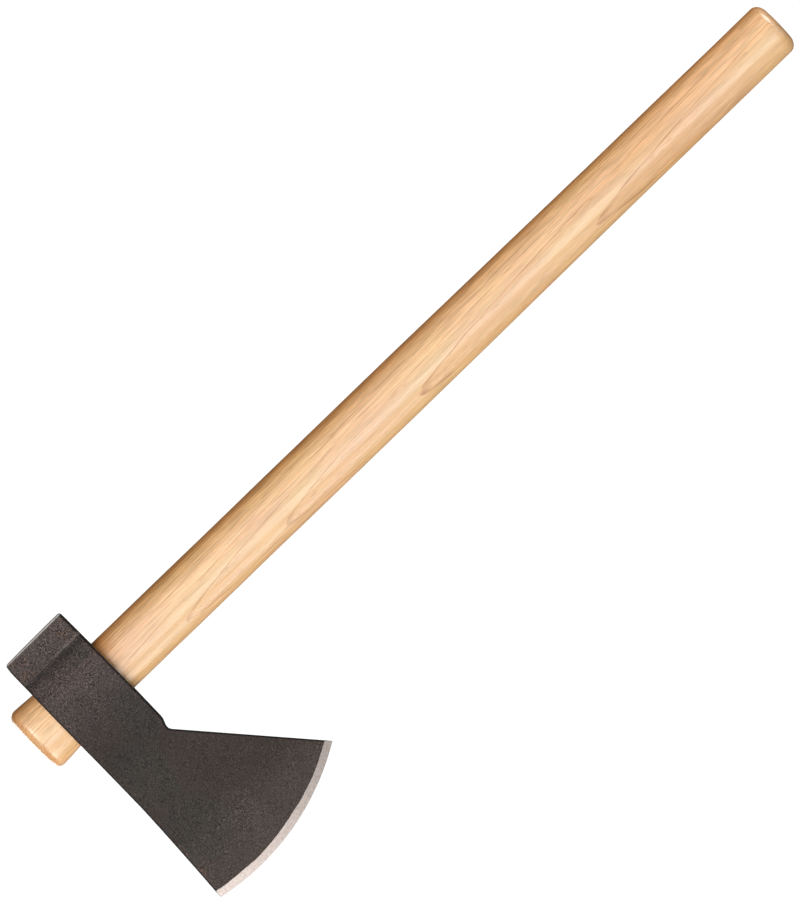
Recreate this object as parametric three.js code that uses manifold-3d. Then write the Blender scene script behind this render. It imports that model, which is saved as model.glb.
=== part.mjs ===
// A hatchet-sized broad axe in two pieces: a forged steel head with a square hammer poll and a bearded
// blade, and a straight oval haft that is pushed up through the head's tapered eye until its swollen end
// wedges there. Sizes are in millimetres. The haft stands along Z with the head at the top, the blade points
// to -X, the poll to +X and the cheeks to -Y and +Y. The origin is the centre of the flat end of the grip.

import * as THREE from "three";
import { mergeVertices } from "three/addons/utils/BufferGeometryUtils.js";
import Module from "manifold-3d";

// Haft: widths are across X, from the blade side to the poll side.
const HAFT_LENGTH = 508;
const GRIP_WIDTH = 28.7;
const SHAFT_WIDTH = 29.8;
const EYE_TOP_WIDTH = 34.2;
const STUB_WIDTH = 35.1;
const HAFT_THICKNESS_RATIO = 0.78;
const OVAL_POWER = 2.15;
const GRIP_TOP = 130;
const SHAFT_START = 360;
const SHAFT_STEPS = 5;
const STUB_STEPS = 3;
const END_ROUND_DEPTH = 4.2;
const END_ROUND_INSET = 5.4;
const END_ROUND_STEPS = 5;
const HAFT_SIDES = 48;

// Head block: the part that holds the eye, with the flat-cheeked hammer poll behind it.
const HEAD_BOTTOM = 452.3;
const HEAD_TOP = 490.4;
const POLL_REACH = 36.9;
const POLL_CHAMFER = 1.3;
const POLL_BLOCK_END = 22.2;
const POLL_BLOCK_HALF = 14.3;
const CORNER_CHAMFER = 0.7;
const EYE_CLEARANCE = 0.3;
const EYE_CUT_OVERRUN = 3;
const CHEEK_ROWS = 10;

// Half the head's thickness at a reach along X: the valley behind the poll block, the eye and the neck.
const CHEEK_PROFILE = new THREE.SplineCurve([
  new THREE.Vector2(21, 13.3),
  new THREE.Vector2(17, 14.4),
  new THREE.Vector2(9, 17.5),
  new THREE.Vector2(0, 18.6),
  new THREE.Vector2(-9, 17.6),
  new THREE.Vector2(-18, 13.9),
  new THREE.Vector2(-27, 9.8),
  new THREE.Vector2(-36, 7.1),
  new THREE.Vector2(-46, 5.7),
]);
const CHEEK_STEPS = 40;

// Blade: the cutting edge, the bevel's inner line and the cross-sections between are arcs round one centre.
const EDGE_CENTRE = new THREE.Vector2(6.5, 468.1);
const EDGE_RADIUS = 127;
const EDGE_HALF = 0.1;
const BEVEL_RADIUS = 122.3;
const BEVEL_HALF = 1.5;
const BLADE_START_RADIUS = 59;
const BLADE_START_HALF = 5.4;
const BLADE_TAPER_POWER = 1.15;
const BLADE_STEPS = 8;

// Grip-side outline of the blade: a shallow scoop behind the neck, then the straight beard to the heel.
const SCOOP_START = -34.2;
const SCOOP_DEPTH = 1.6;
const SCOOP_SKEW = 1.67;
const BEARD_START = -43;
const BEARD_SLOPE = 0.894;

// Top outline of the blade: level with the head's top, then lifting gently to the toe.
const TOE_LIFT_START = -58.6;
const TOE_REACH = -118;
const TOE_LIFT = 2.5;
const TOE_LIFT_POWER = 1.3;
const SIDE_TOLERANCE = 1e-6;

const wasm = await Module();
wasm.setup();

const { lerp, smoothstep } = THREE.MathUtils;

// A closed body through a row of rings with the same even number of points. Each ring turns anticlockwise
// seen from the far end, and its point i mirrors its last-but-i across the plane Y = 0, so strips between
// mirrored points close the two ends.
function loft(rings) {
  const count = rings[0].length;
  const triangles = [];
  const quad = (a, b, c, d) => triangles.push(a, b, c, a, c, d);
  for (let ring = 0; ring < rings.length - 1; ring++) {
    const near = ring * count;
    const far = near + count;
    for (let i = 0; i < count; i++) {
      const next = (i + 1) % count;
      quad(near + i, near + next, far + next, far + i);
    }
  }
  const last = (rings.length - 1) * count;
  for (let i = 0; i < count / 2 - 1; i++) {
    quad(count - 1 - i, count - 2 - i, i + 1, i);
    quad(last + i, last + i + 1, last + count - 2 - i, last + count - 1 - i);
  }
  const geometry = new THREE.BufferGeometry().setFromPoints(rings.flat());
  geometry.setIndex(triangles);
  return geometry;
}

function toManifold(geometry) {
  const merged = mergeVertices(geometry);
  return new wasm.Manifold(
    new wasm.Mesh({
      numProp: 3,
      vertProperties: merged.attributes.position.array,
      triVerts: new Uint32Array(merged.index.array),
    }),
  );
}

function toGeometry(manifold) {
  const mesh = manifold.getMesh();
  const geometry = new THREE.BufferGeometry();
  geometry.setAttribute("position", new THREE.BufferAttribute(mesh.vertProperties, mesh.numProp));
  geometry.setIndex(new THREE.BufferAttribute(mesh.triVerts, 1));
  return geometry;
}

function makeMesh(name, geometry, look) {
  const mesh = new THREE.Mesh(geometry, new THREE.MeshStandardMaterial({ flatShading: true, ...look }));
  mesh.name = name;
  return mesh;
}

// Width of the haft at a height: nearly even along the grip and shaft, growing through the eye to the stub.
function haftWidth(z) {
  if (z < HEAD_BOTTOM) {
    return lerp(GRIP_WIDTH, SHAFT_WIDTH, smoothstep(z, GRIP_TOP, SHAFT_START));
  }
  if (z < HEAD_TOP) {
    return lerp(SHAFT_WIDTH, EYE_TOP_WIDTH, (z - HEAD_BOTTOM) / (HEAD_TOP - HEAD_BOTTOM));
  }
  const along = (z - HEAD_TOP) / (HAFT_LENGTH - HEAD_TOP);
  return lerp(EYE_TOP_WIDTH, STUB_WIDTH, Math.sin((along * Math.PI) / 2));
}

// One oval cross-section of the haft, drawn in by an inset, or swollen by a negative one.
function haftRing(z, inset = 0) {
  const halfWidth = haftWidth(z) / 2 - inset;
  const halfThickness = (haftWidth(z) * HAFT_THICKNESS_RATIO) / 2 - inset;
  const oval = (value) => Math.sign(value) * Math.abs(value) ** (2 / OVAL_POWER);
  const ring = [];
  for (let i = 0; i < HAFT_SIDES; i++) {
    const angle = ((i + 0.5) / HAFT_SIDES) * 2 * Math.PI;
    const x = oval(Math.cos(angle)) * halfWidth;
    const y = oval(Math.sin(angle)) * halfThickness;
    ring.push(new THREE.Vector3(x, y, z));
  }
  return ring;
}

// The rounding of either end of the haft, from full oval to flat, as distances from the end and insets.
function endRound() {
  const steps = [];
  for (let i = 0; i <= END_ROUND_STEPS; i++) {
    const angle = (i / END_ROUND_STEPS) * (Math.PI / 2);
    steps.push({
      depth: END_ROUND_DEPTH * (1 - Math.sin(angle)),
      inset: END_ROUND_INSET * (1 - Math.cos(angle)),
    });
  }
  return steps;
}

function makeHaft() {
  const gripEnd = endRound().map(({ depth, inset }) => haftRing(depth, inset));
  const topEnd = endRound().map(({ depth, inset }) => haftRing(HAFT_LENGTH - depth, inset));
  const middle = [];
  for (let i = 0; i <= SHAFT_STEPS; i++) {
    middle.push(haftRing(lerp(GRIP_TOP, SHAFT_START, i / SHAFT_STEPS)));
  }
  middle.push(haftRing(HEAD_BOTTOM));
  for (let i = 0; i < STUB_STEPS; i++) {
    middle.push(haftRing(lerp(HEAD_TOP, HAFT_LENGTH - END_ROUND_DEPTH, i / STUB_STEPS)));
  }
  return loft([...gripEnd.reverse(), ...middle, ...topEnd]);
}

// The eye is the haft's own taper, a little larger, and runs out past both faces of the head.
function makeEyeCutter() {
  const heights = [HEAD_BOTTOM - EYE_CUT_OVERRUN, HEAD_BOTTOM, HEAD_TOP, HEAD_TOP + EYE_CUT_OVERRUN];
  return loft(heights.map((z) => haftRing(z, -EYE_CLEARANCE)));
}

function gripSideHeight(x) {
  if (x > SCOOP_START) {
    return HEAD_BOTTOM;
  }
  if (x > BEARD_START) {
    const along = (SCOOP_START - x) / (SCOOP_START - BEARD_START);
    return HEAD_BOTTOM + SCOOP_DEPTH * Math.sin(Math.PI * along ** SCOOP_SKEW);
  }
  return HEAD_BOTTOM - (BEARD_START - x) * BEARD_SLOPE;
}

function topSideHeight(x) {
  const along = Math.max(0, (TOE_LIFT_START - x) / (TOE_LIFT_START - TOE_REACH));
  return HEAD_TOP + TOE_LIFT * along ** TOE_LIFT_POWER;
}

// Where a side of the blade crosses the arc of a given radius, found by halving the stretch that holds it.
function sideAtRadius(heightAt, radius) {
  let inside = 0;
  let outside = -2 * EDGE_RADIUS;
  while (inside - outside > SIDE_TOLERANCE) {
    const x = (inside + outside) / 2;
    if (EDGE_CENTRE.distanceTo(new THREE.Vector2(x, heightAt(x))) < radius) {
      inside = x;
    } else {
      outside = x;
    }
  }
  return new THREE.Vector2(inside, heightAt(inside));
}

// An upright line across the head's cheek, from the grip side at 0 to the top at 1, as points of X and Z.
function uprightLine(x, margin = 0) {
  const low = gripSideHeight(x) + margin;
  const high = topSideHeight(x) - margin;
  return (along) => new THREE.Vector2(x, lerp(low, high, along));
}

// The same across the blade, bent to an arc round the cutting edge's centre.
function arcLine(radius) {
  const turnTo = (side) => Math.asin((sideAtRadius(side, radius).y - EDGE_CENTRE.y) / radius);
  const low = turnTo(gripSideHeight);
  const high = turnTo(topSideHeight);
  return (along) => {
    const turn = lerp(low, high, along);
    const x = EDGE_CENTRE.x - radius * Math.cos(turn);
    const z = EDGE_CENTRE.y + radius * Math.sin(turn);
    return new THREE.Vector2(x, z);
  };
}

// One cross-section of the head along a line, with cheeks at -half and +half and four chamfered corners.
function headRing(line, half) {
  const chamfer = Math.min(CORNER_CHAMFER, half / 2);
  const margin = chamfer / line(0).distanceTo(line(1));
  const place = (along, y) => new THREE.Vector3(line(along).x, y, line(along).y);
  const front = [place(0, chamfer - half)];
  for (let row = 0; row <= CHEEK_ROWS; row++) {
    front.push(place(lerp(margin, 1 - margin, row / CHEEK_ROWS), -half));
  }
  front.push(place(1, chamfer - half));
  const back = front.map(({ x, y, z }) => new THREE.Vector3(x, -y, z));
  return [...front, ...back.reverse()];
}

function makeHead() {
  const rings = [
    headRing(uprightLine(POLL_REACH, POLL_CHAMFER), POLL_BLOCK_HALF - POLL_CHAMFER),
    headRing(uprightLine(POLL_REACH - POLL_CHAMFER), POLL_BLOCK_HALF),
    headRing(uprightLine(POLL_BLOCK_END), POLL_BLOCK_HALF),
  ];
  for (let i = 0; i <= CHEEK_STEPS; i++) {
    const { x, y: half } = CHEEK_PROFILE.getPoint(i / CHEEK_STEPS);
    rings.push(headRing(uprightLine(x), half));
  }
  for (let i = 0; i <= BLADE_STEPS; i++) {
    const along = i / BLADE_STEPS;
    const half = lerp(BEVEL_HALF, BLADE_START_HALF, (1 - along) ** BLADE_TAPER_POWER);
    rings.push(headRing(arcLine(lerp(BLADE_START_RADIUS, BEVEL_RADIUS, along)), half));
  }
  rings.push(headRing(arcLine(EDGE_RADIUS), EDGE_HALF));
  return toGeometry(toManifold(loft(rings)).subtract(toManifold(makeEyeCutter())));
}

const axe = new THREE.Group();
axe.add(makeMesh("axe_head", makeHead(), { color: 0x443e3c, roughness: 0.6, metalness: 0.7 }));
axe.add(makeMesh("haft", makeHaft(), { color: 0xdcb485, roughness: 0.5, metalness: 0 }));

export default axe;
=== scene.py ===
"""The looks of the axe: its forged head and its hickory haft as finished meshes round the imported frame.

Shapes are worked out in millimetres in the frame's own axes (Z up the haft, -X to the blade, +X to the poll,
-Y and +Y out of the cheeks) and turned to metres when a mesh is made.
"""

import math

import bmesh
import bpy
import numpy as np
from mathutils import Matrix, Vector, noise


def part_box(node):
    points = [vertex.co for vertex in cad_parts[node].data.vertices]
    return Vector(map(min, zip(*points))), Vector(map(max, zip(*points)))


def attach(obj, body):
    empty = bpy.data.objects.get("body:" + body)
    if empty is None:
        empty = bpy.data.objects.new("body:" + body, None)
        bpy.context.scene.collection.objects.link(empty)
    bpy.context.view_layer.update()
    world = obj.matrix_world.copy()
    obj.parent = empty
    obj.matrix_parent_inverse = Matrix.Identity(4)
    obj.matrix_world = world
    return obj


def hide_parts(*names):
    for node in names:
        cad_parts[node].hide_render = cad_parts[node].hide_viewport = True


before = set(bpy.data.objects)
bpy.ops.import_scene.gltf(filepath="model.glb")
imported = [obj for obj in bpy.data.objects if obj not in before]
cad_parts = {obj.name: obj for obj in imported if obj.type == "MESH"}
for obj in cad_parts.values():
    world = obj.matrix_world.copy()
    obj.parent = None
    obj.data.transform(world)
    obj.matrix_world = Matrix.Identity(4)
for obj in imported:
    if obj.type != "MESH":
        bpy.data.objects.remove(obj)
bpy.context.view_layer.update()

MM = 0.001

# Sizes read from the frame, in millimetres.
head_low, head_high = (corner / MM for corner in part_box("axe_head"))
haft_low, haft_high = (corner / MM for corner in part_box("haft"))
HAFT_LENGTH = haft_high.z
STUB_WIDTH = haft_high.x - haft_low.x + 0.9
POLL_REACH = head_high.x

# Haft, as widths across X.
GRIP_WIDTH = 28.9
SHAFT_WIDTH = 30.2
EYE_TOP_WIDTH = 34.2
HAFT_THICKNESS_RATIO = (haft_high.y - haft_low.y) / (haft_high.x - haft_low.x)
OVAL_POWER = 2.15
GRIP_TOP = 90
SHAFT_START = 260
END_ROUND_DEPTH = 5.7
END_ROUND_INSET = 6.2
END_SETBACK = 0.7
END_DOME = 0.3
STUB_SHIFT = -0.35

# How far sanding left the haft proud of its oval, and the share of it that the eye's clearance lets stand.
BROAD_SWELL = 0.16
FINE_SWELL = 0.05
PROUD_SHARE = 0.3
NECK_FADE = 20

# How finely the haft's mesh is divided.
HAFT_SIDES = 96
HAFT_STEP = 2.0
END_ROUND_STEPS = 9
END_ROWS = 10

# Head block.
HEAD_BOTTOM = 452.3
HEAD_TOP = 490.4
POLL_ROUND = 1.3
POLL_BLOCK_END = 22.2
POLL_BLOCK_HALF = 14.3
CORNER_ROUND = 0.8
EYE_CLEARANCE = 0.06
EYE_RIM_ROUND = 0.7
EYE_SIDES = 128
EYE_RIM_STEPS = 5
EYE_CUT_OVERRUN = 3
CHEEK_PROFILE = (
    (21.6, 13.3),
    (20, 13.2),
    (17, 14.4),
    (9, 17.5),
    (0, 18.6),
    (-9, 17.6),
    (-18, 13.9),
    (-27, 9.8),
    (-36, 7.1),
    (-46, 5.7),
)

# How the hammer drew the poll's long edges and its face in.
POLL_DRAW = 0.75
POLL_CORNER_START = 31
POLL_CORNER_DROP = 0.6
POLL_LEAN = 0.6

# How finely the head's mesh is divided: up each cheek, across its top and grip side, and round its corners.
CHEEK_ROWS = 76
CHEEK_STEPS = 9
STRIPS = 6
CORNER_STEPS = 4
POLL_ROUND_STEPS = 4
POLL_FACE_ROWS = 8
BEVEL_STEPS = 28

# Blade, round the centre of the cutting edge's arc.
EDGE_CENTRE_X = 6.5
EDGE_CENTRE_Z = 468.1
EDGE_RADIUS = EDGE_CENTRE_X - head_low.x
BEVEL_WIDTH = 4.1
BEVEL_HALF = 1.5
BLADE_START_RADIUS = 59
BLADE_START_HALF = 5.4
BLADE_TAPER_POWER = 1.15

# Grip-side and top outlines of the blade.
SCOOP_START = -34.2
SCOOP_DEPTH = 1.6
SCOOP_SKEW = 1.67
BEARD_START = -43
BEARD_SLOPE = 0.894
TOE_LIFT_START = -58.6
TOE_REACH = -118
TOE_LIFT = 2.5
TOE_LIFT_POWER = 1.3

# Yearly rings of the haft's billet, as the depths at which one ends and the next begins. Depth is
# measured along a line that leans RING_LEAN from the front towards the blade, and falls by RING_SINK for
# each millimetre up the haft.
RING_LEAN = math.radians(29)
RING_SINK = 0.037
RING_STARTS = (
    *(-34.0, -31.4, -28.6, -25.5, -22.7, -19.6, -16.9, -13.9),
    *(-11.3, -8.2, -4.7, -2.25, 0.25, 3.55, 7.55, 12.7, 16.0),
)

# Camera, in metres: square to the front cheek, with the haft leaning across the picture.
CAMERA_LEAN = math.radians(43.98)
CAMERA_DISTANCE = 12
CAMERA_X = -0.02163
CAMERA_Z = 0.2782
CAMERA_FIELD = 0.4395
SENSOR = 36
CAMERA_SIGHT = 100


def lerp(a, b, along):
    return a + (b - a) * along


def smoothstep(value, low, high):
    along = min(1, max(0, (value - low) / (high - low)))
    return along * along * (3 - 2 * along)


# ---------------------------------------------------------------- meshes


def make_object(name, points, faces):
    """A mesh object from points in millimetres."""
    mesh = bpy.data.meshes.new(name)
    mesh.from_pydata([tuple(c * MM for c in point) for point in points], [], faces)
    item = bpy.data.objects.new(name, mesh)
    bpy.context.scene.collection.objects.link(item)
    return item


def tube(rings):
    """The points of a row of rings of one length, and the quads between them."""
    count = len(rings[0])
    faces = []
    for ring in range(len(rings) - 1):
        near, far = ring * count, (ring + 1) * count
        for i in range(count):
            following = (i + 1) % count
            faces.append((near + i, near + following, far + following, far + i))
    return [point for ring in rings for point in ring], faces


def close_end(points, faces, first, count, rows, bulge, forward):
    """Closes the ring of points that starts at first with rows of ever smaller rings round its middle, each
    moved by bulge times how far in it is. forward says that the end looks along the row of rings."""
    rim = np.array(points[first : first + count])
    middle = rim.mean(0)
    previous = list(range(first, first + count))
    for row in range(1, rows + 1):
        share = 1 - row / rows
        shift = np.array(bulge) * (1 - share**2)
        if row < rows:
            current = list(range(len(points), len(points) + count))
            points.extend(tuple(point) for point in middle + (rim - middle) * share + shift)
        else:
            current = [len(points)] * count
            points.append(tuple(middle + shift))
        for i in range(count):
            following = (i + 1) % count
            corners = [previous[i], previous[following], current[following], current[i]]
            if row == rows:
                corners.pop()
            faces.append(tuple(corners if forward else reversed(corners)))
        previous = current


def catmull_rom(knots, steps):
    """Points along a smooth curve through the knots, steps to each stretch."""
    knots = [np.array(knot, float) for knot in knots]
    padded = [knots[0], *knots, knots[-1]]
    points = []
    for a, b, c, d in zip(padded, padded[1:], padded[2:], padded[3:]):
        slope_b, slope_c = (c - a) / 2, (d - b) / 2
        for i in range(steps):
            t = i / steps
            start = (2 * t**3 - 3 * t**2 + 1) * b + (t**3 - 2 * t**2 + t) * slope_b
            end = (3 * t**2 - 2 * t**3) * c + (t**3 - t**2) * slope_c
            points.append(start + end)
    points.append(knots[-1])
    return points


def quarter_turn(steps):
    """The angles of a quarter turn, from 0 up."""
    return [i / steps * math.pi / 2 for i in range(steps + 1)]


# ---------------------------------------------------------------- haft


def haft_width(z):
    """The haft's width across X at a height: a slight taper, then the swelling through the eye."""
    if z < HEAD_BOTTOM:
        return lerp(GRIP_WIDTH, SHAFT_WIDTH, smoothstep(z, GRIP_TOP, SHAFT_START))
    if z < HEAD_TOP:
        return lerp(SHAFT_WIDTH, EYE_TOP_WIDTH, (z - HEAD_BOTTOM) / (HEAD_TOP - HEAD_BOTTOM))
    along = (z - HEAD_TOP) / (HAFT_LENGTH - HEAD_TOP)
    return lerp(EYE_TOP_WIDTH, STUB_WIDTH, math.sin(along * math.pi / 2))


def oval(value):
    """A cosine or sine, flattened so that the haft's section is a little squarer than an ellipse."""
    return math.copysign(abs(value) ** (2 / OVAL_POWER), value)


def haft_ring(z, inset, sides):
    """One oval of the haft at a height, drawn in by an inset, or swollen by a negative one."""
    half_width = haft_width(z) / 2 - inset
    half_thickness = haft_width(z) * HAFT_THICKNESS_RATIO / 2 - inset
    shift = STUB_SHIFT * smoothstep(z, HEAD_BOTTOM, HAFT_LENGTH)
    ring = []
    for i in range(sides):
        angle = (i + 0.5) / sides * 2 * math.pi
        x = oval(math.cos(angle)) * half_width + shift
        ring.append((x, oval(math.sin(angle)) * half_thickness, z))
    return ring


def hand_finish(x, y, z):
    """How far sanding by hand left the haft off its true oval: long, faint flats, and swells low enough
    for the haft to slide out of the eye."""
    broad = noise.noise(Vector((x * 0.05, y * 0.05, z * 0.018)))
    fine = noise.noise(Vector((x * 0.16 + 7, y * 0.16, z * 0.05)))
    swell = BROAD_SWELL * broad + FINE_SWELL * fine
    return min(swell, PROUD_SHARE * swell) * smoothstep(HEAD_BOTTOM + 6 - z, 0, NECK_FADE)


def finished(ring):
    """The ring with the marks of its sanding."""
    points = []
    for x, y, z in ring:
        outward = Vector((x, y / HAFT_THICKNESS_RATIO, 0)).normalized() * hand_finish(x, y, z)
        points.append((x + outward.x, y + outward.y, z))
    return points


def make_haft():
    """The haft from its grip end to its stub, both rounded and closed."""
    grip_end, top_end = [], []
    for angle in quarter_turn(END_ROUND_STEPS):
        depth = lerp(END_SETBACK, END_ROUND_DEPTH, 1 - math.sin(angle))
        inset = END_ROUND_INSET * (1 - math.cos(angle))
        grip_end.append(haft_ring(depth, inset, HAFT_SIDES))
        top_end.append(haft_ring(HAFT_LENGTH - depth, inset, HAFT_SIDES))
    first = END_ROUND_DEPTH + HAFT_STEP
    heights = np.arange(first, HAFT_LENGTH - END_ROUND_DEPTH - HAFT_STEP / 2, HAFT_STEP)
    middle = [haft_ring(z, 0, HAFT_SIDES) for z in heights]
    points, faces = tube([finished(ring) for ring in (*reversed(grip_end), *middle, *top_end)])
    last = len(points) - HAFT_SIDES
    close_end(points, faces, 0, HAFT_SIDES, END_ROWS, (0, 0, -END_DOME), False)
    close_end(points, faces, last, HAFT_SIDES, END_ROWS, (0, 0, END_DOME), True)
    return make_object("hickory_haft", points, faces)


# ---------------------------------------------------------------- head


def grip_side_height(x):
    """Where the head's grip side lies: level at the poll, then the scoop, then straight down the beard."""
    if x > SCOOP_START:
        return HEAD_BOTTOM + POLL_DRAW * max(0, x) / POLL_REACH
    if x > BEARD_START:
        along = (SCOOP_START - x) / (SCOOP_START - BEARD_START)
        return HEAD_BOTTOM + SCOOP_DEPTH * math.sin(math.pi * along**SCOOP_SKEW)
    return HEAD_BOTTOM - (BEARD_START - x) * BEARD_SLOPE


def top_side_height(x):
    """Where the head's top lies: level, lifting to the toe and rounded off at the poll."""
    along = max(0, (TOE_LIFT_START - x) / (TOE_LIFT_START - TOE_REACH))
    rounding = max(0, (x - POLL_CORNER_START) / (POLL_REACH - POLL_CORNER_START))
    return HEAD_TOP + TOE_LIFT * along**TOE_LIFT_POWER - POLL_CORNER_DROP * rounding**1.5


def side_at_radius(height_at, radius):
    """Height at which a side of the blade crosses the arc of that radius, by halving the stretch that holds
    it."""
    closeness = 1e-5
    inside, outside = 0, -2 * EDGE_RADIUS
    while inside - outside > closeness:
        x = (inside + outside) / 2
        if math.hypot(x - EDGE_CENTRE_X, height_at(x) - EDGE_CENTRE_Z) < radius:
            inside = x
        else:
            outside = x
    return height_at(inside)


def upright_line(x, margin=0):
    """A line up the cheek at a reach along X, as a function of the share climbed, and its length."""
    low, high = grip_side_height(x) + margin, top_side_height(x) - margin
    lean = POLL_LEAN * smoothstep(x, POLL_BLOCK_END, POLL_REACH)
    return (lambda along: (x - lean * along**2, lerp(low, high, along))), high - low


def arc_line(radius):
    """The same across the blade, along an arc round the cutting edge's centre."""
    low = math.asin((side_at_radius(grip_side_height, radius) - EDGE_CENTRE_Z) / radius)
    high = math.asin((side_at_radius(top_side_height, radius) - EDGE_CENTRE_Z) / radius)

    def place(along):
        turn = lerp(low, high, along)
        return EDGE_CENTRE_X - radius * math.cos(turn), EDGE_CENTRE_Z + radius * math.sin(turn)

    return place, (high - low) * radius


def head_ring(line, half):
    """One cross-section of the head: from the middle of its grip side, round the front cheek to the middle of
    its top, and back down the other cheek, with rounded corners."""
    place, length = line
    corner = min(CORNER_ROUND, half * 0.6)
    across = [(half - corner) * (i + 0.5) / (STRIPS + 0.5) for i in range(STRIPS)]
    rounding = [
        (corner * (1 - math.cos(angle)) / length, half - corner * (1 - math.sin(angle)))
        for angle in quarter_turn(CORNER_STEPS)[:-1]
    ]
    low, high = corner / length, 1 - corner / length
    cheek = [(lerp(low, high, i / CHEEK_ROWS), half) for i in range(CHEEK_ROWS + 1)]
    climb = [(0, y) for y in across] + rounding + cheek
    climb += [(1 - along, y) for along, y in reversed(rounding)] + [(1, y) for y in reversed(across)]
    front = [(place(along)[0], -y, place(along)[1]) for along, y in climb]
    return front + [(x, -y, z) for x, y, z in reversed(front)]


def blade_half(radius):
    """Half the blade's thickness before its bevel is ground, at a distance from the edge's centre."""
    along = (EDGE_RADIUS - BEVEL_WIDTH - radius) / (EDGE_RADIUS - BEVEL_WIDTH - BLADE_START_RADIUS)
    return lerp(BEVEL_HALF, BLADE_START_HALF, math.copysign(abs(along) ** BLADE_TAPER_POWER, along))


def bevel_half(radius):
    """Half the thickness that grinding leaves, at a distance from the edge's centre."""
    return max(0, (EDGE_RADIUS - radius) * BEVEL_HALF / BEVEL_WIDTH)


def forging(x, y, z):
    """How far the hammer left a cheek proud or low, in millimetres."""
    side = 31 if y > 0 else 0
    broad = noise.noise(Vector((x * 0.035 + side, z * 0.035, 3)))
    dents = noise.noise(Vector((x * 0.11, z * 0.11 + side, 9)))
    small = noise.noise(Vector((x * 0.35 + side, z * 0.35, 17)))
    return 0.28 * broad + 0.13 * dents + 0.045 * small


def head_stations():
    """Every cross-section of the head as its line and half thickness, from the poll's face to the edge."""
    stations = []
    for angle in reversed(quarter_turn(POLL_ROUND_STEPS)):
        x = POLL_REACH - POLL_ROUND * (1 - math.sin(angle))
        inset = POLL_ROUND * (1 - math.cos(angle))
        stations.append((upright_line(x, inset), POLL_BLOCK_HALF - inset))
    for x in np.arange(POLL_REACH - POLL_ROUND - 1, POLL_BLOCK_END + 0.6, -1.0):
        stations.append((upright_line(x), POLL_BLOCK_HALF))
    stations.append((upright_line(POLL_BLOCK_END + 0.35), POLL_BLOCK_HALF))
    stations.append((upright_line(POLL_BLOCK_END), POLL_BLOCK_HALF - 0.12))
    for x, half in catmull_rom(CHEEK_PROFILE, CHEEK_STEPS):
        stations.append((upright_line(x), half))
    bevel_start = EDGE_RADIUS - BEVEL_WIDTH - 1.2
    blade_radii = np.arange(BLADE_START_RADIUS, bevel_start, 1.0)
    bevel_radii = np.linspace(bevel_start, EDGE_RADIUS, BEVEL_STEPS)
    for radius in (*blade_radii, *bevel_radii):
        stations.append((arc_line(radius), blade_half(radius)))
    return stations


def make_head():
    """The head without its eye. Each point is marked with what its looks depend on: how much was ground away
    there, how far it is from the grip side and from the top, and how far in from the cheek."""
    stations = head_stations()
    rings = [head_ring(line, half) for line, half in stations]
    cheeks = [half for _, half in stations for _ in rings[0]]
    points, faces = tube(rings)
    close_end(points, faces, 0, len(rings[0]), POLL_FACE_ROWS, (0, 0, 0), False)
    cheeks += [POLL_BLOCK_HALF] * (len(points) - len(cheeks))
    shaped, ground, below, above, inward = [], [], [], [], []
    for (x, y, z), cheek in zip(points, cheeks):
        radius = math.hypot(x - EDGE_CENTRE_X, z - EDGE_CENTRE_Z)
        near_edge = x < BEARD_START and radius > EDGE_RADIUS - 3 * BEVEL_WIDTH
        proud = forging(x, y, z) * smoothstep(POLL_REACH - x, 0, 4) * smoothstep(abs(y), 0, 2.5)
        half = abs(y) + proud
        over = half - bevel_half(radius) if near_edge else -BEVEL_HALF
        shaped.append((x, math.copysign(half - max(0, over), y), z))
        ground.append(over)
        below.append(z - grip_side_height(x))
        above.append(top_side_height(x) - z)
        inward.append(cheek - abs(y))
    head = make_object("forged_head", shaped, faces)
    marks = {"ground": ground, "below": below, "above": above, "inward": inward}
    for name, values in marks.items():
        mark = head.data.attributes.new(name, "FLOAT", "POINT")
        mark.data.foreach_set("value", np.array(values, np.float32))
    merge_points(head.data)
    return head


def merge_points(mesh):
    """Makes one of points that coincide, as the two cheeks' do along the cutting edge."""
    closeness = 0.001 * MM
    shape = bmesh.new()
    shape.from_mesh(mesh)
    bmesh.ops.remove_doubles(shape, verts=shape.verts, dist=closeness)
    bmesh.ops.dissolve_degenerate(shape, edges=shape.edges, dist=closeness)
    shape.to_mesh(mesh)
    shape.free()


def make_eye_cutter():
    """A body the shape of the eye, flared at both mouths so that the cut leaves rounded rims."""
    widest = -EYE_CLEARANCE - 2 * EYE_RIM_ROUND
    lower = [haft_ring(HEAD_BOTTOM - EYE_CUT_OVERRUN, widest, EYE_SIDES)]
    upper = [haft_ring(HEAD_TOP + EYE_CUT_OVERRUN, widest, EYE_SIDES)]
    for angle in quarter_turn(EYE_RIM_STEPS):
        climb = EYE_RIM_ROUND * (1 - math.cos(angle))
        flare = EYE_RIM_ROUND * (1 - math.sin(angle))
        lower.append(haft_ring(HEAD_BOTTOM + climb, -EYE_CLEARANCE - flare, EYE_SIDES))
        upper.append(haft_ring(HEAD_TOP - climb, -EYE_CLEARANCE - flare, EYE_SIDES))
    points, faces = tube(lower + list(reversed(upper)))
    last = len(points) - EYE_SIDES
    close_end(points, faces, 0, EYE_SIDES, 1, (0, 0, 0), False)
    close_end(points, faces, last, EYE_SIDES, 1, (0, 0, 0), True)
    return make_object("eye_cutter", points, faces)


def cut(item, cutter):
    """Takes the cutter's shape out of the item, and the cutter away."""
    change = item.modifiers.new("eye", "BOOLEAN")
    change.operation = "DIFFERENCE"
    change.solver = "EXACT"
    change.object = cutter
    bpy.context.view_layer.update()
    result = bpy.data.meshes.new_from_object(item.evaluated_get(bpy.context.evaluated_depsgraph_get()))
    item.modifiers.clear()
    item.data = result
    bpy.data.objects.remove(cutter)


# ---------------------------------------------------------------- materials


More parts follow.
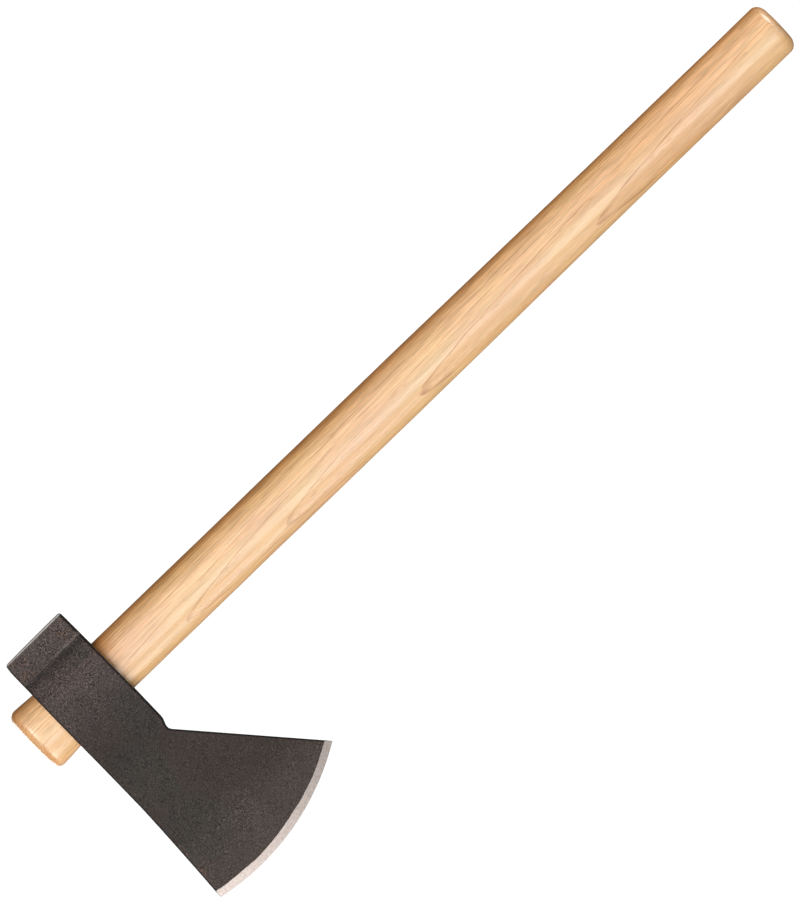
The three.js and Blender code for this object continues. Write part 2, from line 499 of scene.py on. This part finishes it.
def tone(red, green, blue):
    """A colour written as its red, green and blue on a screen, 0 to 255, in the shader's linear terms."""
    channels = [c / 255 for c in (red, green, blue)]
    return (*[c / 12.92 if c < 0.04045 else ((c + 0.055) / 1.055) ** 2.4 for c in channels], 1)


# Where a Mix node keeps its two colours and the mixed one, as its sockets share their names.
MIX_FIRST = 6
MIX_SECOND = 7
MIX_RESULT = 2


class Surface:
    """A material in the making: short calls that add a node, feed it and give its output back. Places are
    in millimetres, so a noise of scale 0.5 has grains about 2 mm across."""

    def __init__(self, name):
        self.material = bpy.data.materials.new(name)
        self.material.use_nodes = True
        self.tree = self.material.node_tree
        self.shader = self.tree.nodes["Principled BSDF"]
        coordinates = self.tree.nodes.new("ShaderNodeTexCoord")
        self.place = self.stretched((1 / MM, 1 / MM, 1 / MM), coordinates.outputs["Object"])
        self.x, self.y, self.z = self.axes(self.place)

    def feed(self, socket, value):
        if isinstance(value, bpy.types.NodeSocket):
            self.tree.links.new(value, socket)
        else:
            socket.default_value = value

    def set(self, **values):
        for name, value in values.items():
            self.feed(self.shader.inputs[name.replace("_", " ")], value)

    def stretched(self, scale, place=None, shift=(0, 0, 0)):
        node = self.tree.nodes.new("ShaderNodeMapping")
        self.feed(node.inputs["Vector"], place or self.place)
        node.inputs["Scale"].default_value = scale
        node.inputs["Location"].default_value = shift
        return node.outputs["Vector"]

    def axes(self, place):
        node = self.tree.nodes.new("ShaderNodeSeparateXYZ")
        self.feed(node.inputs[0], place)
        return node.outputs

    def joined(self, x, y, z):
        node = self.tree.nodes.new("ShaderNodeCombineXYZ")
        for socket, value in zip(node.inputs, (x, y, z)):
            self.feed(socket, value)
        return node.outputs[0]

    def math(self, operation, *values, clamp=False):
        node = self.tree.nodes.new("ShaderNodeMath")
        node.operation = operation
        node.use_clamp = clamp
        for socket, value in zip(node.inputs, values):
            self.feed(socket, value)
        return node.outputs[0]

    def sum(self, *terms):
        """The sum of (value, weight) pairs."""
        total = 0.0
        for value, weight in terms:
            total = self.math("MULTIPLY_ADD", value, weight, total)
        return total

    def product(self, first, *others):
        for other in others:
            first = self.math("MULTIPLY", first, other)
        return first

    def noise(self, scale, detail=2.0, place=None, roughness=0.5, distortion=0.0):
        node = self.tree.nodes.new("ShaderNodeTexNoise")
        self.feed(node.inputs["Vector"], place or self.place)
        node.inputs["Scale"].default_value = scale
        node.inputs["Detail"].default_value = detail
        node.inputs["Roughness"].default_value = roughness
        node.inputs["Distortion"].default_value = distortion
        return node.outputs[0]

    def step(self, value, low, high, start=0.0, end=1.0):
        """Goes smoothly from start to end as the value goes from low to high, which may be the smaller."""
        node = self.tree.nodes.new("ShaderNodeMapRange")
        node.interpolation_type = "SMOOTHSTEP"
        if low > high:
            low, high, start, end = high, low, end, start
        for name, number in (("From Min", low), ("From Max", high), ("To Min", start), ("To Max", end)):
            node.inputs[name].default_value = number
        self.feed(node.inputs["Value"], value)
        return node.outputs["Result"]

    def curve(self, value, knots):
        """Straight stretches through the knots (value, result), both from 0 to 1."""
        node = self.tree.nodes.new("ShaderNodeFloatCurve")
        points = node.mapping.curves[0].points
        while len(points) < len(knots):
            points.new(0.5, 0.5)
        for point, knot in zip(points, knots):
            point.location = knot
            point.handle_type = "VECTOR"
        node.mapping.update()
        self.feed(node.inputs["Value"], value)
        return node.outputs["Value"]

    def mix(self, factor, a, b, mode="MIX"):
        node = self.tree.nodes.new("ShaderNodeMix")
        node.data_type = "RGBA"
        node.blend_type = mode
        self.feed(node.inputs["Factor"], factor)
        self.feed(node.inputs[MIX_FIRST], a)
        self.feed(node.inputs[MIX_SECOND], b)
        return node.outputs[MIX_RESULT]

    def grey(self, value):
        """A colour whose channels are all the value."""
        node = self.tree.nodes.new("ShaderNodeCombineColor")
        for socket in node.inputs:
            self.feed(socket, value)
        return node.outputs[0]

    def random(self, value):
        """A random number for each whole value."""
        node = self.tree.nodes.new("ShaderNodeTexWhiteNoise")
        node.noise_dimensions = "1D"
        self.feed(node.inputs["W"], value)
        return node.outputs["Value"]

    def mark(self, name):
        node = self.tree.nodes.new("ShaderNodeAttribute")
        node.attribute_name = name
        return node.outputs["Fac"]

    def bump(self, height, depth):
        """Relief of the height, 0 to 1, over a depth in millimetres."""
        node = self.tree.nodes.new("ShaderNodeBump")
        node.inputs["Strength"].default_value = 1
        node.inputs["Distance"].default_value = depth * MM
        self.feed(node.inputs["Height"], height)
        self.feed(self.shader.inputs["Normal"], node.outputs["Normal"])


# Wood: its tones, then the tints of painted shade and painted sheen round the haft.
WOOD_PINK = tone(217, 173, 131)
WOOD_YELLOW = tone(219, 178, 130)
WOOD_EARLY = tone(210, 159, 108)
WOOD_BROWN = tone(203, 148, 98)
WOOD_SEAM = tone(172, 116, 68)
WOOD_DARK = tone(176, 115, 56)
WOOD_PORE = tone(176, 122, 76)
# Tints of painted light: shade at the sides, a sheen in front, and shade where the blade side turns.
WOOD_SIDE_SHADE = (1.0, 0.97, 0.86, 1)
WOOD_FRONT_SHEEN = (0.88, 0.92, 0.96, 1)
WOOD_BLADE_SIDE_SHADE = (0.93, 0.86, 0.74, 1)
PLAIN = (1, 1, 1, 1)

# How closely the wood's noises lie, in grains to a millimetre along X, Y and Z.
DRIFT_GRAINS = (0.07, 0.07, 0.009)
WAVER_GRAINS = (0.35, 0.35, 0.03)
STREAK_GRAINS = (0.9, 0.9, 0.02)
FIBRE_GRAINS = (2.6, 2.6, 0.07)
THREAD_GRAINS = (2.1, 2.1, 0.06)
PORE_GRAINS = (1.9, 1.9, 0.16)
PATCH_GRAINS = (0.3, 0.3, 0.035)
BLOTCH_GRAINS = (0.06, 0.06, 0.02)

# Stretches of the haft over which its looks change, each from the height where a change begins to the
# height where it is full.
# Painted shadow of the head on the neck: where it begins, and where it fades out above.
NECK_SHADOW = (440, 451)
NECK_SHADOW_END = (480, 465)
GRIP_BROWN = (150, 60)
GRIP_BROWN_END = (20, 70)
GRIP_END_GRAIN = (2.6, 0.8)
STUB_END_GRAIN = (505, 507)
STUB_RIM = (502.5, 504.5)
STUB_RIM_END = (507.4, 506.4)
STUB_LIFT = (488, 493)

# The shaft's width as a share of the stub's, which brings places across the stub back to the shaft's.
STUB_NARROWING = 0.84


def ring_age(s):
    """How many rings deep a place is: whole rings, and the share of the one that it is in."""
    drift = s.noise(1, 2, s.stretched(DRIFT_GRAINS))
    waver = s.noise(1, 2, s.stretched(WAVER_GRAINS))
    depth = s.sum(
        (s.x, -math.sin(RING_LEAN)),
        (s.y, -math.cos(RING_LEAN)),
        (s.z, -RING_SINK),
        (drift, 0.4),
        (waver, 0.4),
        (1.0, -0.4),
    )
    deepest, shallowest = RING_STARTS[0], RING_STARTS[-1]
    span, rings = shallowest - deepest, len(RING_STARTS) - 1
    knots = [((start - deepest) / span, i / rings) for i, start in enumerate(RING_STARTS)]
    return s.product(s.curve(s.sum((depth, 1 / span), (1.0, -deepest / span)), knots), rings)


def ring_seam(s, phase):
    """The dark line where a ring meets the next, stronger in some places than in others."""
    patchy = s.noise(1, 2, s.stretched(PATCH_GRAINS, shift=(9, 1, 4)))
    strength = s.step(patchy, 0.3, 0.6, 0.25, 1.0)
    line = s.product(s.step(phase, 0.08, 0.01), strength)
    ahead = s.product(s.step(phase, 0.99, 1.0), strength)
    return s.math("MAXIMUM", line, ahead)


def wood_pores(s, phase):
    """Short dark pores, most of them early in each ring."""
    field = s.noise(1, 1, s.stretched(PORE_GRAINS, shift=(3, 5, 2)))
    return s.product(s.step(field, 0.62, 0.74), s.step(phase, 0.6, 0.05, 0.3, 1.0))


def wood_ground(s, across, phase, strength):
    """The wood's colour before its seams, pores and fibres are drawn on it, with a painted shade down the
    haft's poll side.
    """
    blotch = s.noise(1, 2, s.stretched(BLOTCH_GRAINS, shift=(2, 8, 6)))
    colour = s.mix(s.step(blotch, 0.35, 0.65), WOOD_PINK, WOOD_YELLOW)
    early = s.step(phase, 0.65, 0.0)
    colour = s.mix(s.product(early, s.step(strength, 0, 1, 0.1, 0.5)), colour, WOOD_EARLY)
    grip = s.product(s.step(s.z, *GRIP_BROWN), s.step(s.z, *GRIP_BROWN_END))
    handled = s.product(grip, s.step(blotch, 0.35, 0.6, 0.4, 1.0))
    colour = s.mix(s.product(handled, 0.45), colour, WOOD_BROWN)
    # Painted shade: the haft's poll side darkens and warms.
    colour = s.mix(s.step(across, 10, 14.5, 0.0, 0.75), colour, WOOD_DARK)
    end_grain = s.math("MAXIMUM", s.step(s.z, *STUB_END_GRAIN), s.step(s.z, *GRIP_END_GRAIN))
    colour = s.mix(s.product(end_grain, 0.75), colour, WOOD_BROWN)
    rim = s.product(s.step(s.z, *STUB_RIM), s.step(s.z, *STUB_RIM_END))
    return s.mix(s.product(rim, 0.5), colour, WOOD_DARK)


def wood_grain(s, across, fibre):
    """How light the fibres leave the wood, about 1: plainest towards the blade, and lighter on the stub."""
    long_streak = s.noise(1, 3, s.stretched(STREAK_GRAINS))
    thread = s.step(s.noise(1, 2, s.stretched(THREAD_GRAINS, shift=(6, 2, 1)), 0.6), 0.3, 0.7)
    contrast = s.sum(
        (s.step(across, -10, 10, 0.13, 0.42), 1.0),
        (s.step(across, 6, 12), 0.12),
        (s.step(across, -7, -11), 0.22),
    )
    threads = s.product(s.sum((thread, 1.0), (1.0, -0.5)), contrast)
    grain = s.sum((fibre, 0.4), (long_streak, 0.3), (threads, 1.0), (1.0, 0.67))
    return s.product(grain, s.step(s.z, *STUB_LIFT, 1.0, 1.1))


def painted_haft_shading(s, across):
    """Painted shade at the haft's sides, most where the blade side turns, and a cool painted sheen in front.
    """
    narrow = s.mix(s.step(s.math("ABSOLUTE", across), 7, 12), PLAIN, WOOD_SIDE_SHADE)
    turning = s.product(s.step(across, -4.5, -8), s.step(across, -13.5, -11))
    narrow = s.mix(turning, narrow, WOOD_BLADE_SIDE_SHADE)
    off_front = s.math("ABSOLUTE", s.sum((across, 1.0), (1.0, 6.0)))
    broad = s.mix(s.step(off_front, 9, 5), PLAIN, WOOD_FRONT_SHEEN)
    return s.mix(1.0, narrow, broad, "MULTIPLY")


def hickory():
    """Hickory, whose rings show as long arches on the haft's broad side."""
    s = Surface("hickory")
    across = s.product(s.x, s.step(s.z, HEAD_BOTTOM, HEAD_TOP, 1.0, STUB_NARROWING))
    age = ring_age(s)
    phase = s.math("FRACT", age)
    strength = s.random(s.math("FLOOR", age))
    fibre = s.noise(1, 3, s.stretched(FIBRE_GRAINS), 0.6)
    seam = ring_seam(s, phase)
    pores = wood_pores(s, phase)

    colour = wood_ground(s, across, phase, strength)
    colour = s.mix(s.product(seam, s.step(strength, 0, 1, 0.6, 0.9)), colour, WOOD_SEAM)
    colour = s.mix(s.product(pores, 0.6), colour, WOOD_PORE)
    # Painted shadow of the head on the neck, strongest on the poll side.
    neck = s.product(s.step(s.z, *NECK_SHADOW), s.step(s.z, *NECK_SHADOW_END))
    neck_shadow = s.product(neck, s.step(s.x, -12, 13, 0.15, 1.0))
    colour = s.mix(s.product(neck_shadow, 0.7), colour, WOOD_DARK)
    colour = s.mix(1.0, colour, s.grey(wood_grain(s, across, fibre)), "MULTIPLY")
    # Painted shade and sheen round the haft's sides.
    colour = s.mix(1.0, colour, painted_haft_shading(s, across), "MULTIPLY")

    s.set(
        Base_Color=colour,
        Roughness=s.sum((fibre, 0.2), (seam, 0.1), (1.0, 0.26)),
        Specular_IOR_Level=0.9,
    )
    s.bump(s.sum((fibre, 0.45), (pores, -0.6), (seam, -0.3), (1.0, 0.5)), 0.05)
    return s.material


STEEL_SCALE = tone(71, 61, 58)
STEEL_BROWN = tone(69, 59, 54)
STEEL_RED = tone(62, 52, 47)
STEEL_GREEN = tone(59, 56, 51)
STEEL_DUST = tone(84, 78, 69)
STEEL_RUST = tone(96, 69, 53)
STEEL_FLECK = tone(132, 124, 119)
STEEL_WORN = tone(205, 202, 199)
STEEL_BARE = tone(191, 180, 174)
STEEL_SCRATCHED = tone(156, 146, 141)

# How light the head is along its length, as (reach along X, lightness), from the edge to the poll. Partly the
# scale's own tone, darker mid-blade and lighter by the edge; partly painted light: a painted highlight on the
# eye's swell where it faces the poll, painted shade on the slope that faces the blade, and a painted shadow
# in the hollow behind the poll block's step.
SCALE_TONE_AND_SHADE = (
    *((-130, 1.0), (-100, 1.02), (-92, 0.95), (-83, 0.78), (-63, 0.76), (-54, 0.8), (-44, 0.74), (-34, 0.58)),
    *((-24, 0.66), (-14, 0.66), (-9, 0.76), (-4, 0.9), (0, 0.97), (4, 1.24), (12, 1.65), (16.6, 1.5)),
    *((19.4, 0.8), (20.3, 0.3), (21.0, 0.3), (21.7, 0.95), (22.8, 0.9), (24, 1.05), (30, 1.18), (40, 1.18)),
)

# Patches on the cheek, as a centre and two radii in X and Z.
SANDY_PATCHES = (((-50, 478), (19, 14)), ((-86, 478), (17, 17)), ((-27, 461), (15, 8)))
COOL_PATCH = ((16, 460), (5, 7))
DUSTY_PATCH = ((-93, 456), (11, 9))

# Flecks of bare metal: how many places to a millimetre, their size, and the share of places that hold one.
FLECKS = (1.1, 0.36, 0.5)


def patch(s, centre, radii, warp):
    """1 inside an oval of the cheek, fading to 0 round it, with a ragged outline."""
    across = s.math("DIVIDE", s.sum((s.x, 1.0), (1.0, -centre[0])), radii[0])
    up = s.math("DIVIDE", s.sum((s.z, 1.0), (1.0, -centre[1])), radii[1])
    reach = s.math("SQRT", s.sum((s.product(across, across), 1.0), (s.product(up, up), 1.0)))
    return s.step(s.sum((reach, 1.0), (warp, 0.9), (1.0, -0.45)), 1.15, 0.85)


def speckle(s, density, size, share):
    """Round flecks, density to a millimetre, on a share of the places that could hold one."""
    node = s.tree.nodes.new("ShaderNodeTexVoronoi")
    s.feed(node.inputs["Vector"], s.place)
    node.inputs["Scale"].default_value = density
    held = s.step(s.axes(node.outputs["Color"])[0], 1 - share, 1 - share / 2)
    return s.product(s.step(node.outputs["Distance"], size, size * 0.4), held)


def polar(s):
    """How far along the cutting edge, and how far from its centre, in millimetres."""
    across = s.sum((s.x, -1.0), (1.0, EDGE_CENTRE_X))
    up = s.sum((s.z, 1.0), (1.0, -EDGE_CENTRE_Z))
    reach = s.math("SQRT", s.sum((s.product(across, across), 1.0), (s.product(up, up), 1.0)))
    return s.product(s.math("ARCTAN2", up, across), EDGE_RADIUS), reach


class HeadSurface(Surface):
    """The head's surface, with the noises and marks that its colours share."""

    def __init__(self):
        super().__init__("forged_steel")
        self.broad = self.noise(0.045, 3, roughness=0.6)
        self.ragged = self.noise(0.13, 5, roughness=0.7)
        self.mottle = self.noise(0.3, 4, self.stretched((1, 1, 1), shift=(7, 3, 9)), 0.65)
        self.sand = self.noise(1.3, 3, roughness=0.7)
        self.grit = self.noise(1.7, 1, self.stretched((1, 1, 1), shift=(2, 6, 5)))
        self.ground = self.mark("ground")
        self.below = self.mark("below")
        self.above = self.mark("above")
        self.inward = self.mark("inward")
        self.rim = self.math("MINIMUM", self.below, self.above)
        self.sandy = 0.0
        for centre, radii in SANDY_PATCHES:
            self.sandy = self.math("MAXIMUM", self.sandy, patch(self, centre, radii, self.ragged))


def scale_colour(s):
    """The scale's colour: brown to the edge, reddish on the blade, with green, dusty and rusty patches."""
    blade = s.step(s.sum((s.x, 1.0), (s.mottle, 14.0)), -2, -20)
    colour = s.mix(blade, STEEL_SCALE, STEEL_RED)
    edge_side = s.step(s.sum((s.x, 1.0), (s.ragged, 40.0)), -66, -90)
    colour = s.mix(s.product(edge_side, 0.9), colour, STEEL_BROWN)
    cool = patch(s, *COOL_PATCH, s.ragged)
    colour = s.mix(s.product(s.math("MAXIMUM", s.sandy, cool), 0.6), colour, STEEL_GREEN)
    dusty = s.product(patch(s, *DUSTY_PATCH, s.ragged), s.step(s.sand, 0.4, 0.7))
    colour = s.mix(s.product(dusty, 0.5), colour, STEEL_DUST)
    corner = s.product(s.step(s.x, 18, 30), s.step(s.rim, 14, 3))
    rust_place = s.math("MAXIMUM", s.product(s.step(s.rim, 4, 0), 0.7), corner)
    rust = s.product(rust_place, s.step(s.mottle, 0.4, 0.65), s.step(s.sand, 0.3, 0.65))
    return s.mix(s.product(rust, 0.7), colour, STEEL_RUST)


def scale_tone_and_shade(s):
    """How light the head is along it, read off SCALE_TONE_AND_SHADE: the scale's tone and painted light."""
    low, high = SCALE_TONE_AND_SHADE[0][0], SCALE_TONE_AND_SHADE[-1][0]
    knots = [((x - low) / (high - low), lightness / 2) for x, lightness in SCALE_TONE_AND_SHADE]
    reach = s.sum((s.x, 1 / (high - low)), (1.0, -low / (high - low)))
    return s.product(s.curve(reach, knots), 2.0)


def scale_grain(s):
    """The scale's fine grain, coarser on the poll and in the sandy patches, and its clouds."""
    coarse = s.math("MAXIMUM", s.step(s.x, -30, 5, 0.7, 1.0), s.product(s.sandy, 0.9))
    coarse = s.product(coarse, s.step(s.mottle, 0.35, 0.65, 0.6, 1.3))
    sharp_sand, sharp_grit = s.step(s.sand, 0.4, 0.78), s.step(s.grit, 0.4, 0.75)
    grains = s.product(s.sum((sharp_sand, 1.0), (sharp_grit, 0.6), (1.0, -0.5)), coarse)
    cloud = s.sum((s.broad, 0.43), (s.mottle, 0.39), (1.0, 0.45))
    return s.product(s.sum((grains, 1.7), (1.0, 1.0)), cloud)


def corner_shade(s):
    """Darkens the rounded corners between the cheeks and the head's top and grip side."""
    shade = s.product(s.step(s.below, 0.6, 1.4, 0.12, 1.0), s.step(s.above, 0.4, 1.1, 0.2, 1.0))
    return s.math("MAXIMUM", shade, s.step(s.inward, 0.9, 2.0, 0.0, 0.9))


def flecked(s, colour, flecks):
    """Adds flecks of bare metal, and a painted highlight on the edge where the poll block steps down."""
    colour = s.mix(s.product(flecks, 0.5), colour, STEEL_FLECK)
    # Painted highlight along the poll block's step, broken up by the sand noise.
    step_highlight = s.product(s.step(s.x, 22.0, 22.6), s.step(s.x, 24.4, 22.9), s.step(s.z, 480, 452, 0.0, 0.4))
    return s.mix(s.product(step_highlight, s.step(s.sand, 0.3, 0.6)), colour, STEEL_FLECK)


def poll_wear(s):
    """How worn the poll's face is: all along its rim, and in patches inside it."""
    brink = s.math("MAXIMUM", s.step(s.math("ABSOLUTE", s.y), 12.6, 13.6), s.step(s.rim, 1.6, 0.8))
    face = s.math("MAXIMUM", s.step(brink, 0, 1, 0.3, 1.0), s.step(s.mottle, 0.5, 0.7, 0.0, 0.7))
    return s.product(s.step(s.sum((s.x, 1.0), (s.above, -0.012)), 35.2, 35.6), face)


def grinding_marks(s):
    """Scratches along the cutting edge and across it."""
    along, outward = polar(s)
    scratch = s.noise(1, 3, s.joined(s.product(along, 3.0), s.product(outward, 0.6), s.y), 0.6)
    cross = s.noise(1, 3, s.joined(s.product(along, 0.6), s.product(outward, 3.0), s.y), 0.6)
    return s.math("MAXIMUM", scratch, cross)


def ground_steel(s, grinding):
    """The bevel's bright steel, with a painted reflection: lighter towards the toe, darker towards the heel.
    """
    colour = s.mix(s.step(grinding, 0.38, 0.72), STEEL_SCRATCHED, STEEL_BARE)
    # Painted reflection of the light above: lighter at the toe, darker at the heel.
    return s.mix(1.0, colour, s.grey(s.step(s.z, 390, 490, 0.86, 1.12)), "MULTIPLY")


def forged_steel():
    """Dark forge scale over the head, worn on the poll's face and ground off along the bevels."""
    s = HeadSurface()
    flecks = s.product(speckle(s, *FLECKS), s.step(s.x, -40, 0, 0.3, 1.0))
    wear = poll_wear(s)
    grinding = grinding_marks(s)
    bare = s.step(s.sum((s.ground, 1.0), (s.sand, 0.1), (s.ragged, 0.12), (1.0, -0.11)), 0.0, 0.03)
    scaled = s.math("SUBTRACT", 1.0, bare)

    # The scale's tone with its painted highlight and shade, its grain, and the corner shade.
    lightness = s.product(scale_tone_and_shade(s), scale_grain(s), corner_shade(s))
    colour = s.mix(1.0, scale_colour(s), s.grey(lightness), "MULTIPLY")
    colour = flecked(s, colour, flecks)
    colour = s.mix(s.product(wear, 0.8), colour, STEEL_WORN)
    colour = s.mix(bare, colour, ground_steel(s, grinding))

    worn = s.math("MAXIMUM", bare, s.product(wear, 0.6))
    scale_rough = s.product(s.sum((s.sand, 0.25), (s.mottle, 0.2), (1.0, 0.38)), scaled)
    ground_rough = s.product(s.sum((grinding, 0.3), (1.0, 0.4)), bare)
    s.set(
        Base_Color=colour,
        Metallic=s.sum((worn, 0.5), (1.0, 0.4)),
        Roughness=s.sum((scale_rough, 1.0), (ground_rough, 1.0)),
        Specular_IOR_Level=0.35,
    )
    hammered = s.product(s.sum((s.sand, 0.6), (s.mottle, 0.6), (flecks, 0.2)), scaled)
    s.bump(s.sum((hammered, 1.0), (s.product(grinding, bare), 0.1)), 0.3)
    return s.material


# ---------------------------------------------------------------- stage

AIM_HEIGHT = 0.3
ROOM_BRIGHT_SIDE = (-1, -0.45, 0.3)
ROOM_DIM = (0.09, 0.055, 0.03, 1)
ROOM_BRIGHT = (0.5, 0.5, 0.5, 1)
ROOM_SEEN = (1.1, 1.1, 1.1, 1)
FLOOR_REACH = 60
FLOOR_DEPTH = 1.0
FLOOR_COLOUR = (0.85, 0.85, 0.85, 1)
FLOOR_BOUNCE = (0.1, 0.1, 0.1, 1)
FLOOR_GLOW = (1, 1, 1, 1)
FLOOR_LIFT = 0.85

# Soft lights, as (name, place, width, height, power), in metres and watts.
SOFTBOXES = (
    ("key", (-2.25, -1.15, 1.0), 1.3, 1.3, 42),
    ("front", (0.7, -2.4, 1.3), 1.2, 1.2, 45),
    ("strip", (-0.88, -2.33, 0.3), 0.36, 1.5, 18),
    ("back", (-0.2, 2.1, 1.9), 1.4, 1.4, 55),
    ("low", (0.3, -0.2, -0.6), 0.3, 0.3, 4),
)


def placed(item):
    bpy.context.scene.collection.objects.link(item)
    return item


def add_camera():
    """Stands square to the front cheek, far off, and turned so that the haft runs up to the right."""
    camera = placed(bpy.data.objects.new("camera", bpy.data.cameras.new("camera")))
    right = Vector((-math.sin(CAMERA_LEAN), 0, -math.cos(CAMERA_LEAN)))
    up = Vector((math.cos(CAMERA_LEAN), 0, -math.sin(CAMERA_LEAN)))
    turned = Matrix((right, up, right.cross(up))).transposed().to_4x4()
    camera.matrix_world = Matrix.Translation((CAMERA_X, -CAMERA_DISTANCE, CAMERA_Z)) @ turned
    camera.data.sensor_fit = "VERTICAL"
    camera.data.sensor_height = SENSOR
    camera.data.lens = SENSOR * CAMERA_DISTANCE / CAMERA_FIELD
    camera.data.clip_end = CAMERA_SIGHT
    bpy.context.scene.camera = camera


def add_softbox(name, place, width, height, power):
    """A soft light that faces the middle of the axe and is not itself seen."""
    data = bpy.data.lights.new(name, "AREA")
    data.shape = "RECTANGLE"
    data.size = width
    data.size_y = height
    data.energy = power
    light = placed(bpy.data.objects.new(name, data))
    aim = Vector((0, 0, AIM_HEIGHT))
    light.location = place
    light.rotation_euler = (aim - light.location).to_track_quat("-Z", "Y").to_euler()
    light.visible_camera = False


def light_room():
    """A room that is brightest on the key's side, and shows as plain white behind the axe."""
    world = bpy.data.worlds.new("room")
    bpy.context.scene.world = world
    world.use_nodes = True
    tree = world.node_tree
    coordinates = tree.nodes.new("ShaderNodeTexCoord")
    towards = tree.nodes.new("ShaderNodeVectorMath")
    towards.operation = "DOT_PRODUCT"
    towards.inputs[1].default_value = Vector(ROOM_BRIGHT_SIDE).normalized()
    tree.links.new(coordinates.outputs["Generated"], towards.inputs[0])
    spread = tree.nodes.new("ShaderNodeMapRange")
    spread.inputs["From Min"].default_value = -1
    tree.links.new(towards.outputs["Value"], spread.inputs["Value"])
    path = tree.nodes.new("ShaderNodeLightPath")
    walls, seen = (tree.nodes.new("ShaderNodeMix") for _ in range(2))
    walls.data_type = seen.data_type = "RGBA"
    tree.links.new(spread.outputs["Result"], walls.inputs["Factor"])
    walls.inputs[MIX_FIRST].default_value = ROOM_DIM
    walls.inputs[MIX_SECOND].default_value = ROOM_BRIGHT
    tree.links.new(path.outputs["Is Camera Ray"], seen.inputs["Factor"])
    tree.links.new(walls.outputs[MIX_RESULT], seen.inputs[MIX_FIRST])
    seen.inputs[MIX_SECOND].default_value = ROOM_SEEN
    tree.links.new(seen.outputs[MIX_RESULT], tree.nodes["Background"].inputs["Color"])


def floor_material():
    """Pale and glowing where it is seen, and dim where it lights the axe."""
    material = bpy.data.materials.new("floor")
    material.use_nodes = True
    tree = material.node_tree
    shown = tree.nodes["Principled BSDF"]
    shown.inputs["Base Color"].default_value = FLOOR_COLOUR
    shown.inputs["Roughness"].default_value = 1
    shown.inputs["Specular IOR Level"].default_value = 0
    shown.inputs["Emission Color"].default_value = FLOOR_GLOW
    shown.inputs["Emission Strength"].default_value = FLOOR_LIFT
    bounced = tree.nodes.new("ShaderNodeBsdfDiffuse")
    bounced.inputs["Color"].default_value = FLOOR_BOUNCE
    path = tree.nodes.new("ShaderNodeLightPath")
    choice = tree.nodes.new("ShaderNodeMixShader")
    tree.links.new(path.outputs["Is Camera Ray"], choice.inputs[0])
    tree.links.new(bounced.outputs[0], choice.inputs[1])
    tree.links.new(shown.outputs[0], choice.inputs[2])
    tree.links.new(choice.outputs[0], tree.nodes["Material Output"].inputs["Surface"])
    return material


def add_floor():
    """A wide pale floor, well below the grip so that it does not darken the haft's end."""
    mesh = bpy.data.meshes.new("floor")
    signs = ((-1, -1), (1, -1), (1, 1), (-1, 1))
    corners = [(x * FLOOR_REACH, y * FLOOR_REACH, -FLOOR_DEPTH) for x, y in signs]
    mesh.from_pydata(corners, [], [(0, 1, 2, 3)])
    floor = placed(bpy.data.objects.new("floor", mesh))
    mesh.materials.append(floor_material())


# ---------------------------------------------------------------- the axe

head = make_head()
cut(head, make_eye_cutter())
head.data.materials.clear()
head.data.materials.append(forged_steel())
haft = make_haft()
haft.data.materials.append(hickory())

# Each piece, and the turn in degrees above which an edge of it stays sharp.
for item, angle in ((head, 32), (haft, 60)):
    item.data.shade_smooth()
    item.data.set_sharp_from_angle(angle=math.radians(angle))

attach(head, "head")
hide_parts("axe_head")
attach(haft, "handle")
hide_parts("haft")

add_camera()
light_room()
add_floor()
for softbox in SOFTBOXES:
    add_softbox(*softbox)

view = bpy.context.scene.view_settings
view.view_transform = "Standard"
view.look = "None"
